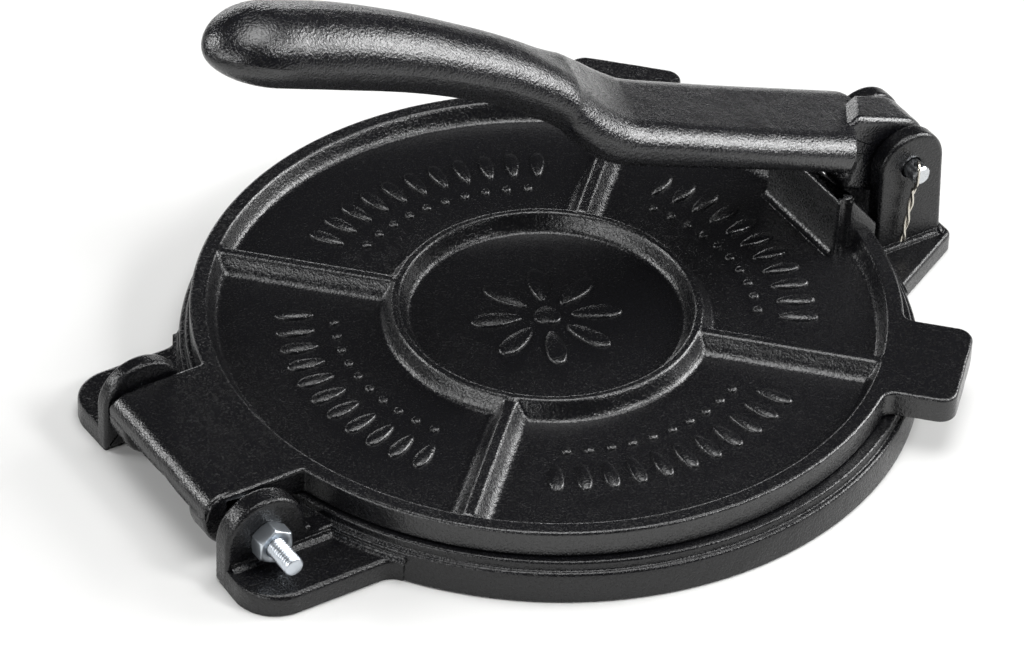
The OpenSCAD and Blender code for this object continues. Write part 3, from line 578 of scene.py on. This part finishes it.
# The hinge bolt is a zinc-plated M6 hexagon bolt, 89 long, rolled thread at its end, with the nut
# outside the near ear. Sizes follow the standard: 10 across the flats, 1 mm pitch.
def zinc_plate(name, colour, roughness):
    """Bright zinc on turned steel: bluish white, with a faint cloudy wave in its shine."""
    cloud_mm, cloud_depth_mm = 1.6, 0.04
    material = bpy.data.materials.new(name)
    material.use_nodes = True
    tree = material.node_tree
    shader = tree.nodes["Principled BSDF"]
    place = add_node(tree, "ShaderNodeTexCoord").outputs["Object"]
    cloud = add_node(tree, "ShaderNodeTexNoise", {"Vector": place, "Scale": 1000 / cloud_mm, "Detail": 3.0})
    wear = add_node(tree, "ShaderNodeMapRange",
                    {"Value": cloud.outputs["Fac"], "To Min": roughness - 0.06, "To Max": roughness + 0.08})
    ripple = add_node(tree, "ShaderNodeBump",
                      {"Height": cloud.outputs["Fac"], "Distance": cloud_depth_mm * 0.001, "Strength": 1.0})
    tree.links.new(wear.outputs["Result"], shader.inputs["Roughness"])
    tree.links.new(ripple.outputs["Normal"], shader.inputs["Normal"])
    shader.inputs["Base Color"].default_value = linear(colour)
    shader.inputs["Metallic"].default_value = 1.0
    return material


def hexagon(y0, height, bore, out):
    """Rings of a hexagon with chamfered corners round the bolt's line, from y0 outwards in the
    direction out: the distance to the flats, cut by a cone at both ends."""
    flat_half, face_r, bore_chamfer = 5, 4.75, 0.3
    a = np.radians(np.arange(0, 360, 2.5))
    flat_r = flat_half / np.cos((a + np.pi / 6) % (np.pi / 3) - np.pi / 6)
    slant = np.maximum(flat_r - face_r, 0) * np.tan(np.radians(30))
    end_r = np.minimum(flat_r, face_r + 0.03)
    half = [(bore, bore_chamfer), (bore + bore_chamfer, 0), (face_r - 0.03, 0), (end_r, 0),
            (flat_r, slant + 0.03)]
    rows = half + [(r, height - h) for r, h in half[::-1]]
    return [np.stack([hinge[0] + r * np.cos(a), y0 + out * h + 0 * a, hinge[1] + r * np.sin(a)], -1)
            for r, h in rows]


bolt_zinc = zinc_plate("bright_zinc_plated_steel_bolt", "C9CFD6", 0.34)
nut_zinc = zinc_plate("bright_zinc_plated_steel_nut", "CFD6DD", 0.34)
nut = piece("hexagon_nut", *skin(hexagon(-42.3, 5.2, 3.05, -1), "loop"), nut_zinc, "base", "zinc_nut")
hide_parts("hinge_nut")
piece("bolt_head", *skin(hexagon(31.3, 4, 0.4, 1), "loop"), bolt_zinc, "base", "zinc_bolt")
shank_r, thread_depth, pitch = 2.97, 0.55, 1.0
thread_y, bolt_end_y = -34, -57.3
a = np.linspace(0, 2 * np.pi, 48, endpoint=False)
y = np.r_[32, 20, 0, -20, -33, np.arange(thread_y, bolt_end_y + 0.1, -0.125)][:, None]
thread = np.clip((thread_y - y) / 1.5, 0, 1) * np.clip((y - bolt_end_y) / 0.8, 0, 1)
turn = (y / pitch + a / (2 * np.pi)) % 1
r = shank_r - thread_depth * thread * (1 - np.abs(turn * 2 - 1))
r = np.minimum(r, 2.4 + y - bolt_end_y)
shank = np.stack([hinge[0] + r * np.cos(a), y + 0 * a, hinge[1] + r * np.sin(a)], -1)
tip = np.stack([hinge[0] + 2.3 * np.cos(a), bolt_end_y + 0 * a, hinge[1] + 2.3 * np.sin(a)], -1)
bolt = piece("bolt_shank", *skin(np.concatenate([shank, tip[None]])), bolt_zinc, "base", "zinc_bolt")
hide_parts("hinge_bolt")


# The lever is a third casting, coarser than the plates: a knuckle between the post's ears, a flat
# arm with rounded corners, a neck that bends up, and an oval grip. Its sections are lofted along
# the arm and turned about the pin by the angle at which it rests on the block.
lever_black = lacquered_iron("black_lacquered_cast_iron_lever", "030304", "151519", 0.75, 0.22, 0.11, 0.75)
rest_angle = np.radians(22)


def placed(points):
    """Points of (distance from the pin, sideways, height above the arm's line) in the part's frame."""
    u, y, v = np.moveaxis(np.asarray(points, float), -1, 0)
    c, s = np.cos(rest_angle), np.sin(rest_angle)
    return np.stack([pin[0] - u * c + v * s, pin[1] + y, pin[2] + u * s + v * c], -1)


# Sections along the lever: distance from the pin, height of the middle, width, thickness, and the
# radii of the corners sideways and upright.
grip_end_u, tip_l, tip_drop = 231.8, 20.2, 3.6
stations = np.array([
    [0, 3.15, 37, 12, 8.2, 5.4], [56.65, 3.15, 37, 12, 8.2, 5.4], [80.3, 3.3, 37, 12.5, 8.3, 5.6],
    [103, 3.6, 36.6, 13.5, 8.5, 5.8], [111.2, 5.3, 35.6, 14.3, 8.8, 6], [118.8, 8.2, 33.4, 14.8, 9.6, 6.6],
    [128, 12.2, 29.8, 15.8, 10.8, 7.4], [151, 17.6, 26.1, 17.6, 12.5, 8.7],
    [170.2, 20.55, 26.3, 18.4, 13, 9.1], [188.4, 22.35, 27.3, 20, 13.6, 10],
    [211.6, 23.12, 28.5, 21.6, 14, 10.6], [grip_end_u, 22.72, 28.5, 21.6, 14.2, 10.8]])
u = np.r_[np.linspace(9.6, 30, 70), np.arange(31, 45, 1.5), np.arange(46, 100, 3),
          np.arange(100, grip_end_u, 1.5), grip_end_u]
slots = np.clip(np.searchsorted(stations[:, 0], u, "right") - 1, 0, len(stations) - 2)
t = ((u - stations[slots, 0]) / (stations[slots + 1, 0] - stations[slots, 0]))[:, None]
p0, p1, p2, p3 = (stations[np.clip(slots + k, 0, len(stations) - 1), 1:] for k in (-1, 0, 1, 2))
section = (p1 + (p2 - p0) / 2 * t + (p0 - 2.5 * p1 + 2 * p2 - p3 / 2) * t ** 2
           + (-p0 + 3 * p1 - 3 * p2 + p3) / 2 * t ** 3)
tip_a = np.radians(np.linspace(0, 88, 14)[1:])
u = np.concatenate([u, grip_end_u + tip_l * np.sin(tip_a)])
tips = np.repeat(section[-1:], len(tip_a), 0)
tips[:, 0] -= tip_drop * (1 - np.cos(tip_a))
shrink = np.concatenate([np.ones(len(section)), np.cos(tip_a)])[:, None]
v, w, h, rx, rz = np.vstack([section, tips]).T[..., None]
quarter = np.concatenate([np.radians(np.linspace(0, 90, 9)) + k * np.pi / 2 for k in range(4)])
sx = np.repeat([1, -1, -1, 1], 9)
sz = np.repeat([1, 1, -1, -1], 9)
across = shrink * (sx * (w / 2 - rx) + rx * np.cos(quarter))
lift = v + shrink * (sz * (h / 2 - rz) + rz * np.sin(quarter))
along = np.repeat(u[:, None], across.shape[1], 1)
# The neck's bend runs slantwise over the arm, and the arm ends in shoulders beside the knuckle.
neck_u, neck_half_l, neck_slant = 114, 17, 0.5
knuckle_half_w, shoulder_w = 7.4, 11.2
near_shoulder_u, near_shoulder_l = 22.6, 5.4
far_shoulder_r = 13.9
along = along - neck_slant * across * np.exp(-((along - neck_u) / neck_half_l) ** 4)
near_side = knuckle_half_w + shoulder_w * np.clip((along - near_shoulder_u) / near_shoulder_l, 0, 1)
far_side = knuckle_half_w + shoulder_w * np.clip(np.hypot(along, lift) - far_shoulder_r, 0, 1)
rings = placed(np.stack([along, np.clip(across, -near_side, far_side), lift], -1))
lever = piece("lever_arm", *skin(rings), lever_black, "arm", "lever_iron")
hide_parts("lever")

# The knuckle: a rounded cheek round the pin with the nose below that rests on the block. Where it
# stands above the arm, the step between them runs slantwise.
knuckle_r, knuckle_back_r, knuckle_edge = 12.8, 11, 2.3
step_slant = 0.7
knuckle = np.vstack([bend(-3.8, 0, knuckle_r, -90, 0, 40), bend(-2, 0.9, knuckle_back_r, 0, 90, 40),
                     [[-17, 11.9], [-19.6, 8.9], [-24.5, 8.7], [-24.5, -0.8], [-16.3, -0.8]],
                     bend(-14.3, -10.8, 2, 180, 270, 10)])
rings = np.stack(cheek(knuckle, np.zeros(2), bore_r, -7.55, 7.55, knuckle_edge))
x, y, z = np.moveaxis(rings, -1, 0)
skew = step_slant * np.clip((-x - 9) / 6, 0, 1) * np.clip((z + 1) / 3, 0, 1)
piece("lever_knuckle", *skin(placed(np.stack([-x - skew * y, y, z], -1)), "loop"), lever_black,
      "arm", "lever_iron")


# The lever's pin is a 6 mm zinc-plated steel pin with a head behind the far ear and a cross hole
# at its near end. A bent steel wire through that hole goes over the pin's end, and its two legs
# are twisted together below. The wire is bare drawn steel, warmer and shinier than the zinc.
pin_zinc = zinc_plate("bright_zinc_plated_steel_pin", "C6C9CC", 0.26)
wire_steel = zinc_plate("drawn_spring_wire", "CBC6BC", 0.22)
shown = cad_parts["lever_pin"]
shown.data.materials.clear()
shown.data.materials.append(pin_zinc)


def wire(knots, radius, name, material, body, slot):
    """A round wire along a line of knots, rounded at every bend by a running mean: circles across
    the line's direction, with the first axis of each circle kept square to X."""
    step, spread = 0.12, 11
    gone = np.concatenate([[0], np.cumsum(np.linalg.norm(np.diff(knots, axis=0), axis=1))])
    at = np.arange(0, gone[-1], step)
    line = np.stack([np.interp(at, gone, knots[:, k]) for k in range(3)], -1)
    half = spread // 2
    padded = np.vstack([np.repeat(line[:1], half, 0), line, np.repeat(line[-1:], half, 0)])
    line = np.stack([np.convolve(padded[:, k], np.ones(spread) / spread, "valid") for k in range(3)], -1)
    way = np.gradient(line, axis=0)
    way /= np.linalg.norm(way, axis=1)[:, None]
    one = np.cross(way, [1.0, 0, 0])
    one /= np.linalg.norm(one, axis=1)[:, None]
    two = np.cross(way, one)
    a = np.linspace(0, 2 * np.pi, 14, endpoint=False)[:, None]
    rings = line[:, None] + radius * (np.cos(a) * one[:, None] + np.sin(a) * two[:, None])
    return piece(name, *skin(rings), material, body, slot)


# One leg goes round the other on a flattened helix, from under the pin down to the foot. The part
# over the pin's end is a few listed points. All are given from the middle of the post.
wire_r, twist_turns = 0.48, 1.45
down = np.linspace(0, 1, 60)
turn = down * 2 * np.pi * twist_turns
middle = np.stack([-0.9 - 2.6 * down, -15.4 + 0 * down, -5.6 - 18.2 * down], -1)
swing = np.stack([np.cos(turn) * 0.55, np.sin(turn) * 0.42, 0 * turn], -1)
over_the_end = np.array([[-0.1, -15.2, -3.2], [0, -15.2, 3.6], [-0.5, -15.9, 4.3], [-1.4, -17.4, 4.4],
                         [-1.9, -18.3, 3.4], [-1.95, -18.35, 0.5], [-1.95, -18.2, -1.8], [-1.7, -16.8, -4.2]])
knots = np.vstack([(middle + swing)[::-1], over_the_end, middle - swing]) + [pin[0], 0, pin[2]]
clip = wire(knots, wire_r, "clip_wire", wire_steel, "base", "clip_wire")
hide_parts("pin_clip")


# The studio: a sheet of white paper that fades into a white surround, one large soft light
# overhead and soft boxes low round the object, which draw the glints on the iron's rounded edges.
# The camera repeats the photograph's view with a long lens. Lengths are in metres from here on.
def paper(name, colour):
    """Matt white paper that keeps the object's soft shadow. Far from it the paper turns to plain
    white for the camera alone, and to a dim grey for the rays that light the object."""
    material = bpy.data.materials.new(name)
    material.use_nodes = True
    tree = material.node_tree
    shader = tree.nodes["Principled BSDF"]
    shader.inputs["Roughness"].default_value = 0.9
    shader.inputs["Specular IOR Level"].default_value = 0.0
    place = add_node(tree, "ShaderNodeTexCoord").outputs["Object"]
    away = add_node(tree, "ShaderNodeVectorMath", {0: place}, operation="LENGTH")
    fade = add_node(tree, "ShaderNodeMapRange",
                    {"Value": away.outputs["Value"], "From Min": 0.22, "From Max": 0.75},
                    interpolation_type="SMOOTHSTEP")
    white = add_node(tree, "ShaderNodeEmission", {"Color": linear("FFFFFF"), "Strength": 1.0})
    seen = add_node(tree, "ShaderNodeLightPath").outputs["Is Camera Ray"]
    share = add_node(tree, "ShaderNodeMath", {0: fade.outputs["Result"], 1: seen}, operation="MULTIPLY")
    unlit = add_node(tree, "ShaderNodeMath", {0: fade.outputs["Result"], 1: share.outputs["Value"]},
                     operation="SUBTRACT")
    tint = add_node(tree, "ShaderNodeMix", {"Factor": unlit.outputs["Value"], "A": linear(colour),
                                            "B": linear("181818")}, data_type="RGBA")
    tree.links.new(tint.outputs["Result"], shader.inputs["Base Color"])
    both = add_node(tree, "ShaderNodeMixShader", {0: share.outputs["Value"], 1: shader.outputs["BSDF"],
                                                  2: white.outputs["Emission"]})
    tree.links.new(both.outputs["Shader"], tree.nodes["Material Output"].inputs["Surface"])
    return material


bpy.ops.mesh.primitive_plane_add(size=12, location=(0, 0, 0))
floor_plane = bpy.context.object
floor_plane.name = "floor"
floor_plane.data.materials.append(paper("white_paper", "DADAD9"))


def lamp(name, place, aim, size, power):
    """A rectangular soft light at a place, turned towards a point."""
    data = bpy.data.lights.new(name, "AREA")
    data.shape = "RECTANGLE"
    data.size, data.size_y = size
    data.energy = power
    made = bpy.data.objects.new(name, data)
    bpy.context.scene.collection.objects.link(made)
    away = Vector(place) - Vector(aim)
    made.matrix_world = Matrix.Translation(place) @ away.to_track_quat("Z", "Y").to_matrix().to_4x4()
    return made


lamp("overhead", (0.05, -0.1, 1.3), (0, 0, 0), (1.0, 0.8), 14)
lamp("right_box", (1.14, -0.27, 0.58), (0, 0, 0.03), (0.8, 0.5), 17)
lamp("near_box", (0.55, -0.95, 0.95), (0, 0, 0.03), (0.3, 0.3), 8)
lamp("back_card", (0.4, 1.1, 0.1), (0, 0, 0.05), (0.9, 0.14), 2.5)
lamp("left_strip", (-1.15, -0.3, 0.45), (0, 0, 0.02), (1.2, 0.25), 7)
lamp("back_left", (-0.95, 0.85, 0.62), (0, 0, 0.03), (0.5, 0.3), 7)

# The world is a dim room for the light it gives, and plain white where the camera sees it.
world = bpy.data.worlds.new("studio")
bpy.context.scene.world = world
world.use_nodes = True
tree = world.node_tree
path = add_node(tree, "ShaderNodeLightPath")
tone = add_node(tree, "ShaderNodeMix", {"Factor": path.outputs["Is Camera Ray"], "A": linear("3A3A3B"),
                                        "B": linear("FFFFFF")}, data_type="RGBA")
tree.links.new(tone.outputs["Result"], tree.nodes["Background"].inputs["Color"])

# The camera, as fitted to the photograph: its direction, roll, distance, aim and lens.
azimuth, elevation, roll = np.radians([-33.209, 38.37, 2.115])
distance, lens_mm = 1.6374, 199.93
aim = np.array([-0.003224, 0.014668, 0])
right = np.array([np.cos(azimuth), np.sin(azimuth), 0])
level = np.array([-np.sin(azimuth), np.cos(azimuth), 0])
forward = np.cos(elevation) * level - np.sin(elevation) * np.array([0, 0, 1])
up = np.cross(right, forward)
sideways = np.cos(roll) * right + np.sin(roll) * up
upwards = np.cos(roll) * up - np.sin(roll) * right
turned_to = np.eye(4)
turned_to[:3] = np.column_stack([sideways, upwards, -forward, aim - distance * forward])
camera = bpy.data.cameras.new("camera")
camera.lens, camera.sensor_width, camera.sensor_fit = lens_mm, 36, "HORIZONTAL"
camera.clip_start, camera.clip_end = 0.05, 50
eye = bpy.data.objects.new("camera", camera)
bpy.context.scene.collection.objects.link(eye)
eye.matrix_world = Matrix(turned_to.tolist())
bpy.context.scene.camera = eye
bpy.context.scene.view_settings.view_transform = "Standard"
